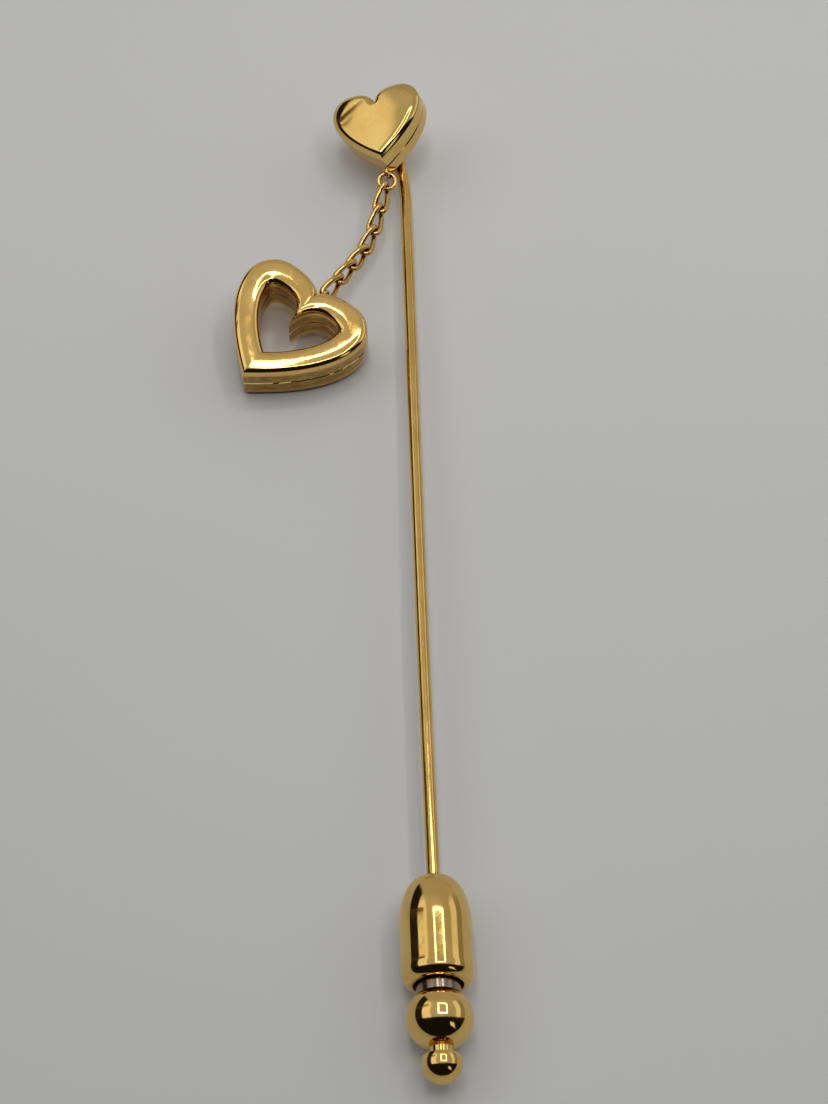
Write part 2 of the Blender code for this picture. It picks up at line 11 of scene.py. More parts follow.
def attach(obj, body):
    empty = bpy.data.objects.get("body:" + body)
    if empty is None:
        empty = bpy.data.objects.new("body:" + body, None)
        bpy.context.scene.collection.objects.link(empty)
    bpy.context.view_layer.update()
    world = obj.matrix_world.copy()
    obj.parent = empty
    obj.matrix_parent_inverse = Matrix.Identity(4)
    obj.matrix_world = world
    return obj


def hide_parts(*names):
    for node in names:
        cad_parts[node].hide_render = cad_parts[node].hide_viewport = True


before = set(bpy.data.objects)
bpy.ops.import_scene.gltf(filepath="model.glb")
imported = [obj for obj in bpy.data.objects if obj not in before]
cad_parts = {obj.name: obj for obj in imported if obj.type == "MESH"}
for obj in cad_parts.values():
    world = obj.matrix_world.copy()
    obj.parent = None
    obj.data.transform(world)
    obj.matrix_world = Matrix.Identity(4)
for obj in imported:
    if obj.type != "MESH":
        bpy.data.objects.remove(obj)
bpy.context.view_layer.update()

MM = 0.001
SCENE = bpy.context.scene

# ---- where the pin's own frame, with its origin at the clutch's mouth, lies in the row frame ----
FRAME_SHIFT = Vector((5.598, -27.761, 0.0)) * MM
AXIS_HEIGHT = 2.53 * MM


# ---------------------------------------------------------------- materials


class Nodes:
    """Adds nodes to one material and joins them up."""

    def __init__(self, tree):
        self.tree = tree

    def new(self, kind, **settings):
        node = self.tree.nodes.new(kind)
        for key, value in settings.items():
            setattr(node, key, value)
        return node

    def link(self, out, into):
        self.tree.links.new(out, into)

    def math(self, operation, a, b=None, clamp=False):
        node = self.new("ShaderNodeMath", operation=operation, use_clamp=clamp)
        for n, value in enumerate((a, b)):
            if value is None:
                continue
            if hasattr(value, "is_linked"):
                self.link(value, node.inputs[n])
            else:
                node.inputs[n].default_value = value
        return node.outputs[0]

    def remap(self, value, low, high, to_low=0.0, to_high=1.0):
        node = self.new("ShaderNodeMapRange", interpolation_type="SMOOTHSTEP")
        self.link(value, node.inputs["Value"])
        for key, number in (("From Min", low), ("From Max", high), ("To Min", to_low), ("To Max", to_high)):
            node.inputs[key].default_value = number
        return node.outputs["Result"]

    def noise(self, vector, scale, detail=2.0, rough=0.5, stretch=None):
        if stretch:
            mapping = self.new("ShaderNodeMapping")
            mapping.inputs["Scale"].default_value = stretch
            self.link(vector, mapping.inputs["Vector"])
            vector = mapping.outputs["Vector"]
        node = self.new("ShaderNodeTexNoise")
        node.inputs["Scale"].default_value = scale
        node.inputs["Detail"].default_value = detail
        node.inputs["Roughness"].default_value = rough
        self.link(vector, node.inputs["Vector"])
        return node.outputs["Fac"]

    def mix(self, share, a, b):
        node = self.new("ShaderNodeMix", data_type="RGBA")
        self.link(share, node.inputs["Factor"])
        for socket, value in ((node.inputs[6], a), (node.inputs[7], b)):
            if hasattr(value, "is_linked"):
                self.link(value, socket)
            else:
                socket.default_value = (*value, 1.0)
        return node.outputs[2]


TARNISH = (0.36, 0.19, 0.03)
GRIME_AND_SHADE = (0.15, 0.065, 0.012)


def metal(name, light, deep, smooth, rough, dent=0.004, scratch=0.5, along=(1, 1, 0.06), seam=None,
          grime_shade_reach=0.9, wear=1.06):
    """Polished plate: its colour drifts, its gloss is worn in hairlines, and its face ripples a little.

    dent is the ripple's height in mm, along the hairlines' stretch, and seam the (frame, height) of
    a seam whose neighbourhood is tool-marked, whose walls are tarnished and whose edge carries a
    painted highlight for its glints. grime_shade_reach is how far, in mm, the darkening near corners,
    other parts and the table reaches, partly real soiling and partly painted shade, and wear is how
    much brighter the rubbed edges are."""
    material = bpy.data.materials.new(name)
    material.use_nodes = True
    kit = Nodes(material.node_tree)
    shader = material.node_tree.nodes["Principled BSDF"]
    shader.inputs["Metallic"].default_value = 1.0
    place = kit.new("ShaderNodeTexCoord").outputs["Object"]
    drift = kit.remap(kit.noise(place, 420.0, 3.0), 0.3, 0.7)
    edge = kit.remap(kit.new("ShaderNodeNewGeometry").outputs["Pointiness"], 0.52, 0.58)
    colour = kit.mix(drift, deep, light)
    worn = tuple(min(1.0, c * wear) for c in light)
    colour = kit.mix(edge, colour, worn)
    # Painted shade, partly real soiling: where other surfaces, other parts or the table crowd close, the
    # colour darkens to a dark brown.
    hollow = kit.new("ShaderNodeAmbientOcclusion", samples=8)
    hollow.inputs["Distance"].default_value = grime_shade_reach * MM
    dirt_and_shade = kit.remap(hollow.outputs["AO"], 0.35, 0.90, 1.0, 0.0)
    colour = kit.mix(dirt_and_shade, colour, tuple(a * b * 2 for a, b in zip(GRIME_AND_SHADE, light)))
    kit.link(colour, shader.inputs["Base Color"])
    hair = kit.noise(place, 9000.0, 2.0, 0.6, along)
    cloud = kit.noise(place, 900.0, 4.0, 0.6)
    gloss = kit.math("MULTIPLY_ADD", kit.remap(hair, 0.52, 0.75), scratch)
    kit.link(kit.remap(cloud, 0.35, 0.75), gloss.node.inputs[2])
    worn_share = kit.math("MULTIPLY", gloss, 0.7, clamp=True)
    kit.link(kit.remap(worn_share, 0.0, 1.0, smooth, rough), shader.inputs["Roughness"])
    ripple = kit.new("ShaderNodeBump")
    ripple.inputs["Distance"].default_value = dent * MM
    ripple.inputs["Strength"].default_value = 1.0
    kit.link(kit.noise(place, 700.0, 1.0, 0.4), ripple.inputs["Height"])
    grain = kit.new("ShaderNodeBump")
    grain.inputs["Distance"].default_value = 0.0004 * MM
    grain.inputs["Strength"].default_value = 0.6
    kit.link(hair, grain.inputs["Height"])
    kit.link(ripple.outputs["Normal"], grain.inputs["Normal"])
    last = grain
    if seam is not None:
        frame_of, level = seam
        back = frame_of.inverted()
        local = kit.new("ShaderNodeMapping")
        local.inputs["Location"].default_value = back.translation
        local.inputs["Rotation"].default_value = back.to_euler()
        kit.link(place, local.inputs["Vector"])
        height = kit.new("ShaderNodeSeparateXYZ")
        kit.link(local.outputs["Vector"], height.inputs[0])
        away = kit.math("ABSOLUTE", kit.math("SUBTRACT", height.outputs["Z"], level))
        near = kit.remap(away, 0.15 * MM, 0.95 * MM, 1.0, 0.0)
        patch = kit.remap(kit.noise(place, 330.0, 2.0), 0.45, 0.62)
        marks = kit.noise(local.outputs["Vector"], 1500.0, 4.0, 0.65, (1, 1, 3.5))
        mark = kit.new("ShaderNodeBump")
        mark.inputs["Distance"].default_value = 0.05 * MM
        kit.link(kit.math("MULTIPLY", near, patch), mark.inputs["Strength"])
        kit.link(marks, mark.inputs["Height"])
        kit.link(grain.outputs["Normal"], mark.inputs["Normal"])
        last = mark
        wall = kit.remap(away, 0.95 * MM, 1.35 * MM, 1.0, 0.0)
        stain = kit.remap(marks, 0.30, 0.65, 0.45, 1.0)
        dull = kit.mix(kit.math("MULTIPLY", wall, stain), colour, TARNISH)
        # Painted highlight: a bright gold line along the seam stands in for its glints.
        bright = kit.remap(away, 0.07 * MM, 0.14 * MM, 1.0, 0.0)
        kit.link(kit.mix(bright, dull, (1.0, 0.80, 0.36)), shader.inputs["Base Color"])
    kit.link(last.outputs["Normal"], shader.inputs["Normal"])
    return material


# Each finish below darkens where surfaces crowd close, partly with soiling and partly with painted shade;
# the chain's darkening reaches furthest.
GOLD = metal("polished_gold", (0.86, 0.58, 0.18), (0.78, 0.50, 0.14), 0.06, 0.15, grime_shade_reach=0.3)
HEART_GOLD = metal("stamped_gold", (0.82, 0.56, 0.185), (0.75, 0.49, 0.14), 0.06, 0.14, 0.006,
                   grime_shade_reach=0.5, wear=1.0)
STEM_GOLD = metal("drawn_gold", (0.85, 0.57, 0.18), (0.75, 0.47, 0.13), 0.10, 0.24, 0.003, 0.8,
                  (1, 0.03, 1))
CHAIN_GOLD = metal("chain_gold", (0.84, 0.56, 0.18), (0.70, 0.43, 0.11), 0.08, 0.20, grime_shade_reach=1.4)
STEEL = metal("turned_steel", (0.34, 0.275, 0.20), (0.22, 0.175, 0.12), 0.16, 0.34, 0.004, 0.8,
              (1, 1, 0.5))
BRASS = metal("turned_brass", (0.76, 0.56, 0.24), (0.62, 0.44, 0.17), 0.18, 0.34, 0.004, 0.8,
              (1, 0.5, 1))


# ---------------------------------------------------------------- pieces


def place(name, mesh, matrix, body, slot, material, *nodes):
    """A finished piece in the place of its CAD nodes, riding on their body."""
    mesh.transform(matrix)
    ob = bpy.data.objects.new(name, mesh)
    SCENE.collection.objects.link(ob)
    ob.data.materials.append(material)
    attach(ob, body)
    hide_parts(*nodes)


FORMED_SHARP = 38
TURNED_SHARP = 30


def smooth(bm, name, sharp=FORMED_SHARP):
    """The mesh, smooth but for edges that turn by more than sharp degrees."""
    bmesh.ops.recalc_face_normals(bm, faces=bm.faces)
    mesh = bpy.data.meshes.new(name)
    bm.to_mesh(mesh)
    bm.free()
    mesh.shade_smooth()
    mesh.set_sharp_from_angle(angle=math.radians(sharp))
    return mesh


def loft(name, rows, closed_rows=False, cap_ends=False):
    """Rows of points, each a closed loop, skinned in order."""
    bm = bmesh.new()
    made = [[bm.verts.new(p) for p in row] for row in rows]
    pairs = list(zip(made, made[1:]))
    if closed_rows:
        pairs.append((made[-1], made[0]))
    for low, high in pairs:
        for n in range(len(low)):
            m = (n + 1) % len(low)
            bm.faces.new((low[n], low[m], high[m], high[n]))
    if cap_ends:
        for row in (made[0], made[-1]):
            middle = bm.verts.new(sum((v.co for v in row), Vector()) / len(row))
            for n in range(len(row)):
                bm.faces.new((row[n], row[(n + 1) % len(row)], middle))
    return smooth(bm, name)


def turned(name, profile, steps=128):
    """A turned solid from (radius, distance) points, closed from the last back to the first."""
    bm = bmesh.new()
    rings = []
    for radius, along in profile:
        if radius < 1e-7:
            rings.append([bm.verts.new((0, 0, along))])
            continue
        rings.append([
            bm.verts.new((radius * math.cos(a), radius * math.sin(a), along))
            for a in (2 * math.pi * n / steps for n in range(steps))
        ])
    for low, high in zip(rings, rings[1:] + rings[:1]):
        if len(low) == 1 and len(high) == 1:
            continue
        for n in range(steps):
            m = (n + 1) % steps
            corners = [low[n % len(low)], low[m % len(low)], high[m % len(high)], high[n % len(high)]]
            bm.faces.new(list(dict.fromkeys(corners)))
    return smooth(bm, name, TURNED_SHARP)


def arc(centre, radii, start, end, count):
    """Points on an ellipse's arc, with its angles in degrees."""
    found = []
    for n in range(count + 1):
        angle = math.radians(start + (end - start) * n / count)
        found.append((centre[0] + radii[0] * math.cos(angle), centre[1] + radii[1] * math.sin(angle)))
    return found


def wire(name, points, radii, sides=20, closed=False):
    """A wire along points, with a radius for each, carried round its bends without a twist."""
    points = [Vector(p) for p in points]
    count = len(points)

    def tangent(n):
        if closed:
            return (points[(n + 1) % count] - points[n - 1]).normalized()
        return (points[min(n + 1, count - 1)] - points[max(n - 1, 0)]).normalized()

    side = tangent(0).orthogonal().normalized()
    sides_at = []
    for n in range(count):
        along = tangent(n)
        side = (side - along * side.dot(along)).normalized()
        sides_at.append((side.copy(), along.cross(side)))
    slip = 0.0
    if closed:
        along = tangent(0)
        back = (side - along * side.dot(along)).normalized()
        first, across = sides_at[0]
        slip = math.atan2(back.dot(across), back.dot(first))
    rows = []
    for n, (point, (side, across)) in enumerate(zip(points, sides_at)):
        turn = -slip * n / count
        row = []
        for m in range(sides):
            angle = 2 * math.pi * m / sides + turn
            row.append(point + (side * math.cos(angle) + across * math.sin(angle)) * radii[n])
        rows.append(row)
    return loft(name, rows, closed_rows=closed, cap_ends=not closed)


def turn_of(angles):
    """Yaw about Z, then the lobes raised by a tilt, then a roll about the heart's own length."""
    yaw, tilt, roll = (math.radians(a) for a in angles)
    return Matrix.Rotation(yaw, 3, "Z") @ Matrix.Rotation(tilt, 3, "X") @ Matrix.Rotation(roll, 3, "Y")


# ---------------------------------------------------------------- hearts

SHELL = 0.28 * MM
SEAM = 0.015 * MM
SEAM_BEVEL = 0.08 * MM
SMALL_HEART = {"width": 7.52, "height": 6.75, "cleft": 1.15, "lobe": 0.56, "shoulder": 0.74,
               "round": 0.58, "belly": 0.44, "tip": 0.29}
SMALL_THICK = 3.52 * MM
SMALL_EDGE = 0.63 * MM
SMALL_RIM = 0.12 * MM
SMALL_CROWN = 0.0019 / MM ** 3
SMALL_LIFT = 0.12 * MM
SMALL_TIP_SHARE = 0.62
SMALL_BLEND = 5.0 * MM
SMALL_PLACE = Vector((-0.52, 64.44, 1.84)) * MM
SMALL_TURN = (5.1, 9.7, -19.1)
OPEN_HEART = {"width": 11.38, "height": 10.14, "cleft": 1.02, "lobe": 0.58, "shoulder": 0.76,
              "round": 0.52, "belly": 0.45, "tip": 0.27}
OPEN_HOLE = {"width": 7.00, "height": 5.47, "cleft": 2.40, "lobe": 0.57, "shoulder": 0.88,
             "round": 0.65, "belly": 0.38, "tip": 0.30}
HOLE_OFFSET = 2.58 * MM
OPEN_THICK = 3.81 * MM
OPEN_WALL = 1.20 * MM
OPEN_SQUARENESS = 2.9
OPEN_PLACE = Vector((-13.03, 44.0, 0.0)) * MM
CHARM_LIFT = -0.144 * MM
OPEN_TURN = (-40.8, 6.4, 4.8)
OUTLINE_STEPS = 36
OPEN_STEPS = 56
OPEN_WALL_STEPS = 12
OPEN_ARC_STEPS = 44
WALL_STEPS = 6
EDGE_STEPS = 14
FACE_STEPS = 20
CLEFT_FAN = 6
MERGE = 1e-7
MARK_DEPTH = 0.16 * MM


def heart_outline(shape, count=OUTLINE_STEPS):
    """A heart's right half as (point, inward direction) pairs, from its cleft to just short of its tip.

    The cleft's point comes several times, with directions that fan out, and the tip's angle is last."""
    half = shape["width"] / 2
    height = shape["height"]
    bottom = height - shape["cleft"]
    lobe = Vector((half * shape["lobe"], height))
    side = Vector((half, height * shape["shoulder"]))
    rise = height - side.y
    push = Vector((half * shape["tip"], height * shape["tip"] * 0.42))
    arcs = [
        (Vector((0, bottom)), Vector((half * 0.04, bottom + shape["cleft"] * 0.6)),
         Vector((lobe.x * 0.4, height)), lobe),
        (lobe, Vector((lobe.x + (half - lobe.x) * shape["round"], height)),
         Vector((half, side.y + rise * shape["round"])), side),
        (side, Vector((half, side.y * (1 - shape["belly"]))), push, Vector((0, 0))),
    ]
    path = []
    for start, pull, hold, end in arcs:
        path += [p.to_2d() for p in interpolate_bezier(start, pull, hold, end, count + 1)[:-1]]
    path.append(Vector((0.0, 0.0)))
    found = []
    for n, point in enumerate(path[:-1]):
        along = (path[n + 1] - path[max(n - 1, 0)]).normalized()
        found.append((point * MM, Vector((along.y, -along.x))))
    first = found[0][1]
    spread = math.atan2(first.x, -first.y)
    fan = [spread * n / CLEFT_FAN for n in range(CLEFT_FAN)]
    found = [(found[0][0], Vector((math.sin(a), -math.cos(a)))) for a in fan] + found
    return found, math.atan2(push.x, push.y)


def drawn_in(outline, distance):
    """The whole closed outline moved inwards, mitred on its middle line at the tip."""
    half, tip_angle = outline
    right = [point + inward * distance for point, inward in half]
    tip = Vector((0.0, distance / math.sin(tip_angle)))
    for n in range(len(right) // 2, len(right)):
        if right[n].x < 0:
            before = right[n - 1]
            share = before.x / (before.x - right[n].x)
            tip = Vector((0.0, before.lerp(right[n], share).y))
            right[n:] = [tip.copy() for _ in right[n:]]
            break
    left = [Vector((-p.x, p.y)) for p in reversed(right[1:])]
    return right + [tip] + left


def skin(rows):
    """A closed surface from rows of points, the last joined back to the first, without doubles."""
    bm = bmesh.new()
    made = [[bm.verts.new(p) for p in line] for line in rows]
    for low, high in zip(made, made[1:] + made[:1]):
        for n in range(len(low)):
            m = (n + 1) % len(low)
            bm.faces.new((low[n], low[m], high[m], high[n]))
    bmesh.ops.remove_doubles(bm, verts=bm.verts, dist=MERGE)
    return bm


def small_half(name, way, matrix, node):
    """One hollow stamping of the puffed heart. way is 1 for the front and -1 for the back."""
    outline = heart_outline(SMALL_HEART)
    middle = Vector((0.0, SMALL_HEART["height"] * 0.55 * MM))
    seam = SMALL_THICK / 2
    wall = seam - SMALL_EDGE - SMALL_RIM
    low = SEAM + SEAM_BEVEL

    def crown(point):
        """The height that the face's dome adds at a point. It drops more gently towards the tip."""
        off = point - middle
        fall = max(0.0, min(1.0, 0.5 - off.y / SMALL_BLEND))
        off.y *= 1 + (SMALL_TIP_SHARE - 1) * fall * fall * (3 - 2 * fall)
        return SMALL_LIFT - SMALL_CROWN * off.length_squared ** 2

    def rows_inside(depth):
        """The skin that lies depth under the outside, from its seam to the middle of its face."""
        rows = []
        for n in range(WALL_STEPS + 1):
            height = low + (wall - low) * n / WALL_STEPS
            rows.append([(p.x, p.y, seam + way * height) for p in drawn_in(outline, depth)])
        for n in range(1, EDGE_STEPS + 1):
            angle = math.radians(90 * n / EDGE_STEPS)
            inset = depth + (SMALL_EDGE - depth) * (1 - math.cos(angle))
            row = []
            for p in drawn_in(outline, inset):
                height = wall + (SMALL_EDGE - depth + crown(p)) * math.sin(angle)
                row.append((p.x, p.y, seam + way * height))
            rows.append(row)
        flat = drawn_in(outline, SMALL_EDGE)
        for n in range(1, FACE_STEPS + 1):
            points = [middle + (p - middle) * (1 - n / FACE_STEPS) for p in flat]
            rows.append([(p.x, p.y, seam + way * (wall + SMALL_EDGE - depth + crown(p)))
                         for p in points])
        return rows

    outside = rows_inside(0.0)
    inside = rows_inside(SHELL)
    lip = [(p.x, p.y, seam + way * SEAM) for p in drawn_in(outline, SEAM_BEVEL)]
    edge = [(p.x, p.y, seam + way * SEAM) for p in drawn_in(outline, SHELL)]
    mesh = smooth(skin([edge, lip, *outside, *reversed(inside)]), name)
    place(name, mesh, matrix, "pin", "gold_plate", HEART_GOLD, node)


def tool_marks(point, height):
    """How deep the outer wall is marked there, in metres: streaks along the seam, in patches."""
    here = point / MM
    level = height / MM
    patch = noise.noise(Vector((here.x * 0.45, here.y * 0.45, 3.7)))
    streak = noise.noise(Vector((here.x * 1.3, here.y * 1.3, level * 4.5)))
    fine = noise.noise(Vector((here.x * 4.0, here.y * 4.0, level * 9.0 + 5.0)))
    near = max(0.0, 1.0 - abs(level - 0.25) / 0.8)
    return MARK_DEPTH * near * max(0.0, patch + 0.25) * max(0.0, 0.35 + streak + 0.5 * fine)


def open_section(width, depth):
    """The section of one half over a limb that wide, as (distance in, height, on the outer wall)."""
    low = SEAM + SEAM_BEVEL
    rise = OPEN_THICK / 2 - OPEN_WALL - depth
    power = 2 / OPEN_SQUARENESS
    side = [(depth, low + (OPEN_WALL - low) * n / OPEN_WALL_STEPS, True)
            for n in range(OPEN_WALL_STEPS + 1)]
    top = []
    for n in range(1, OPEN_ARC_STEPS):
        angle = math.pi * n / OPEN_ARC_STEPS
        cos = math.cos(angle)
        across = math.copysign(abs(cos) ** power, cos)
        height = OPEN_WALL + rise * math.sin(angle) ** power
        top.append((width / 2 - (width / 2 - depth) * across, height, False))
    return side + top + [(width - inset, height, False) for inset, height, _ in reversed(side)]


def open_rows(way, outer, inner, depth=0.0):
    """Rows over one half of the open heart, from outer wall to inner wall, depth under the outside."""
    seam = OPEN_THICK / 2
    lines = []
    for a, b in zip(outer, inner):
        across = b - a
        width = across.length
        line = []
        for inset, height, marked in open_section(width, depth):
            if marked and not depth:
                inset += tool_marks(a, height)
            line.append((*(a + across * (inset / width)), seam + way * height))
        lines.append(line)
    return [list(row) for row in zip(*lines)]


def open_half(name, way, matrix, node):
    """One hollow stamping of the open heart: an outer wall, a rounded face and an inner wall."""
    outer = drawn_in(heart_outline(OPEN_HEART, OPEN_STEPS), 0.0)
    inner = [p + Vector((0, HOLE_OFFSET)) for p in drawn_in(heart_outline(OPEN_HOLE, OPEN_STEPS), 0.0)]
    seam = OPEN_THICK / 2

    def edge(inset):
        """The seam's two rows, that far in from the outer wall and from the inner one."""
        rows = []
        for share in (inset, -inset):
            row = []
            for a, b in zip(outer, inner):
                step = (b - a).normalized() * share
                row.append((*((a if share > 0 else b) + step), seam + way * SEAM))
            rows.append(row)
        return rows

    lips = edge(SEAM_BEVEL)
    edges = edge(SHELL)
    rows = [edges[0], lips[0], *open_rows(way, outer, inner), lips[1], edges[1]]
    rows += reversed(open_rows(way, outer, inner, SHELL))
    mesh = smooth(skin(rows), name)
    place(name, mesh, matrix, "charm", "gold_plate", OPEN_GOLD, node)


# ---------------------------------------------------------------- chain

EYE_RADIUS = 0.42 * MM
EYE_WIRE = 0.14 * MM
HEAD_EYE = -0.57 * MM
CHARM_EYE = 10.06 * MM
RING_RADIUS = 0.69 * MM
RING_WIRE = 0.18 * MM
RING_TWIST = math.radians(22)
RING_GAP = 0.06
RING_GAP_TURN = 2.2
LINK_COUNT = 6
LINK_PITCH = 2.04 * MM
LINK_THIN = 0.23 * MM
LINK_WIDE = 0.22 * MM
LINK_HALF_WIDTH = 0.49 * MM
LINK_TWIST = math.radians(100), math.radians(10)
LINK_STEPS = 88
LINK_SIDES = 20
LINK_SQUARENESS = 0.55
FIT = 0.03 * MM
RING_PITCH = 2 * (RING_RADIUS - RING_WIRE)
CHAIN_START_PULL = Vector((-1.1, -3.9, -0.95)) * MM
CHAIN_END_PULL = Vector((2.1, 3.45, -0.7)) * MM
CHAIN_STEPS = 120


def chain_path(start, end, length):
    """Points along a hanging curve of that length between two places, found by halving."""

    def curve(slack):
        pull, push = start + CHAIN_START_PULL * slack, end + CHAIN_END_PULL * slack
        return interpolate_bezier(start, pull, push, end, CHAIN_STEPS)

    def measure(points):
        return sum((b - a).length for a, b in zip(points, points[1:]))

    low, high = 0.2, 3.0
    for _ in range(40):
        middle = (low + high) / 2
        if measure(curve(middle)) < length:
            low = middle
        else:
            high = middle
    return curve(high)


def walk(points, distance):
    """The place that lies a distance along a row of points."""
    for a, b in zip(points, points[1:]):
        step = (b - a).length
        if distance <= step:
            return a.lerp(b, distance / step)
        distance -= step
    return points[-1].copy()


def link_mesh(name):
    """An oval link of flattened wire, twisted along its length, with its pivot at the origin."""
    reach = LINK_PITCH / 2 + LINK_THIN + FIT / 2
    twist_start, twist_end = LINK_TWIST
    flat = []
    for n in range(LINK_STEPS):
        angle = 2 * math.pi * n / LINK_STEPS
        cos, sin = math.cos(angle), math.sin(angle)
        flat.append(Vector((reach * math.copysign(abs(cos) ** LINK_SQUARENESS, cos),
                            LINK_HALF_WIDTH * math.copysign(abs(sin) ** LINK_SQUARENESS, sin))))
    rows = []
    for n, (along, across) in enumerate(flat):
        run = (flat[(n + 1) % LINK_STEPS] - flat[n - 1]).normalized()
        twist = twist_start + (twist_end - twist_start) * (along + reach) / (2 * reach)
        over = Vector((0, math.sin(twist), math.cos(twist)))
        level = Vector((0, math.cos(twist), -math.sin(twist)))
        middle = Vector((LINK_PITCH / 2 + along, 0, 0)) + level * across
        out = Vector((run.y, 0, 0)) - level * run.x
        row = []
        for m in range(LINK_SIDES):
            angle = 2 * math.pi * m / LINK_SIDES
            side = out * math.cos(angle) * LINK_THIN
            row.append(middle + side + over * math.sin(angle) * LINK_WIDE)
        rows.append(row)
    return loft(name, rows, closed_rows=True)


def frame_along(start, end, up):
    """A turn whose X runs from start to end and whose Z is as near to up as it can be."""
    x = (end - start).normalized()
    z = (up - x * up.dot(x)).normalized()
    y = z.cross(x)
    return Matrix((x, y, z)).transposed()


def round_ring(radius, steps, gap=0.0):
    """A circle's points in the XY plane. A gap, in radians, leaves it open at +X."""
    count = steps + (1 if gap else 0)
    return [
        (radius * math.cos(a), radius * math.sin(a), 0.0)
        for a in (gap / 2 + (2 * math.pi - gap) * n / steps for n in range(count))
    ]


def build_chain(head, charm_turn, charm_place):
    """The split ring and the twisted links between the two eyes."""
    drop = EYE_RADIUS - EYE_WIRE
    start = head @ Vector((0, HEAD_EYE - drop, SMALL_THICK / 2))
    end = charm_turn @ Vector((0, CHARM_EYE + drop, OPEN_THICK / 2)) + charm_place
    points = chain_path(start, end, RING_PITCH + LINK_COUNT * LINK_PITCH)
    cuts = [0.0] + [RING_PITCH + n * LINK_PITCH for n in range(LINK_COUNT + 1)]
    pivots = [walk(points, cut) for cut in cuts]
    ups = head.to_3x3().col[2], charm_turn.col[2]
    for n, (a, b) in enumerate(zip(pivots, pivots[1:])):
        up = ups[0].lerp(ups[1], n / LINK_COUNT)
        matrix = Matrix.Translation(a + FRAME_SHIFT) @ frame_along(a, b, up).to_4x4()
        if n == 0:
            matrix = matrix @ Matrix.Rotation(-RING_TWIST, 4, "X")
            matrix = matrix @ Matrix.Translation((RING_PITCH / 2, 0, 0))
            matrix = matrix @ Matrix.Rotation(RING_GAP_TURN, 4, "Z")
            path = round_ring(RING_RADIUS, 96, RING_GAP)
            mesh = wire("jump_ring", path, [RING_WIRE] * len(path), 24)
            place("jump_ring", mesh, matrix, "jump_ring", "gold_plate", CHAIN_GOLD, "top_jump_ring")
            continue
        mesh = link_mesh(f"link_{n}")
        place(f"link_{n}", mesh, matrix, f"link_{n}", "gold_plate", CHAIN_GOLD, f"chain_link_{n}")


# ---------------------------------------------------------------- stem

STEM_RADIUS = 0.475 * MM
STEM_TIP_RADIUS = 0.07 * MM
STEM_INSIDE = 9.6 * MM
STEM_TIP_LENGTH = 1.6 * MM
STEM_BOW = (0.0, 26.0, -0.05), (0.30, 46.0, 1.95), (0.38, 60.4, 1.56)
STEM_BEND = (0.42, 62.3, 1.50)
STEM_BACK = (0.55, 1.2), (0.40, 2.6), (0.28, 3.9), (0.20, 5.0)
TAPER_STEPS = 8


def build_stem(head):
    """The wire: its point inside the clutch, the bowed length, and the end bent to the head's back."""
    under = -(STEM_RADIUS + FIT)
    back = [head @ Vector((x * MM, y * MM, under)) for x, y in STEM_BACK]
    mouth = Vector((0, 0, AXIS_HEIGHT))
    pull, push, end = (Vector(spot) * MM for spot in STEM_BOW)
    bow = interpolate_bezier(mouth + Vector((0, 1.0 * MM, 0)), mouth + pull, push, end, 60)
    bend = interpolate_bezier(
        end, Vector(STEM_BEND) * MM, back[0] - (back[1] - back[0]) * 1.2, back[0], 30)
    tip = mouth - Vector((0, STEM_INSIDE, 0))
    shoulder = tip + Vector((0, STEM_TIP_LENGTH, 0))
    shares = [n / TAPER_STEPS for n in range(TAPER_STEPS + 1)]
    taper = [tip.lerp(shoulder, share) for share in shares]
    points = [*taper, *bow, *bend[1:], *back[1:]]
    radii = [STEM_TIP_RADIUS + (STEM_RADIUS - STEM_TIP_RADIUS) * share ** 0.6 for share in shares]
    radii += [STEM_RADIUS] * (len(points) - len(radii))
    mesh = wire("stem_wire", points, radii, 48)
    place("stem_wire", mesh, Matrix.Translation(FRAME_SHIFT), "pin", "gold_plate", STEM_GOLD, "stem")


# ---------------------------------------------------------------- clutch

BARREL_RADIUS = 2.53 * MM
BARREL_WALL = 0.35 * MM
BARREL_MOUTH = 0.45 * MM
BARREL_FLAT = 1.0 * MM
BARREL_DOME = 3.5 * MM
BARREL_END = 8.4 * MM
BARREL_CORNER = 0.75 * MM
BARREL_CORNER_LENGTH = 1.05 * MM
BARREL_HOLE = 0.78 * MM
STEM_BORE = 0.53 * MM
COLLAR_END = 8.07 * MM
TUBE_RADIUS = 1.55 * MM
TUBE_END = 10.5 * MM
FLANGE_RADIUS = 2.08 * MM
FLANGE_START = 4.45 * MM
FLANGE_END = 4.85 * MM
CAGE_RADIUS = 1.08 * MM
CAGE_START = 1.7 * MM
CAGE_END = 3.3 * MM
CAGE_TAPER = 1.45 * MM
KNOB_CENTRE = 10.80 * MM
KNOB_RADIUS = 2.33 * MM
KNOB_HALF_LENGTH = 2.26 * MM
KNOB_SOCKET_END = 11.0 * MM
KNOB_LIP = 0.84 * MM
NECK_RADIUS = 0.78 * MM
NECK_JOINT = 13.38 * MM
FINIAL_TOP = 13.60 * MM
FINIAL_CENTRE = 14.05 * MM
FINIAL_RADIUS = 1.415 * MM
RIVET_RADIUS = 0.27 * MM
RIVET_END = 14.2 * MM
LIP = 0.06 * MM
CHAMFER = 0.05 * MM
BARREL_ROWS = 12


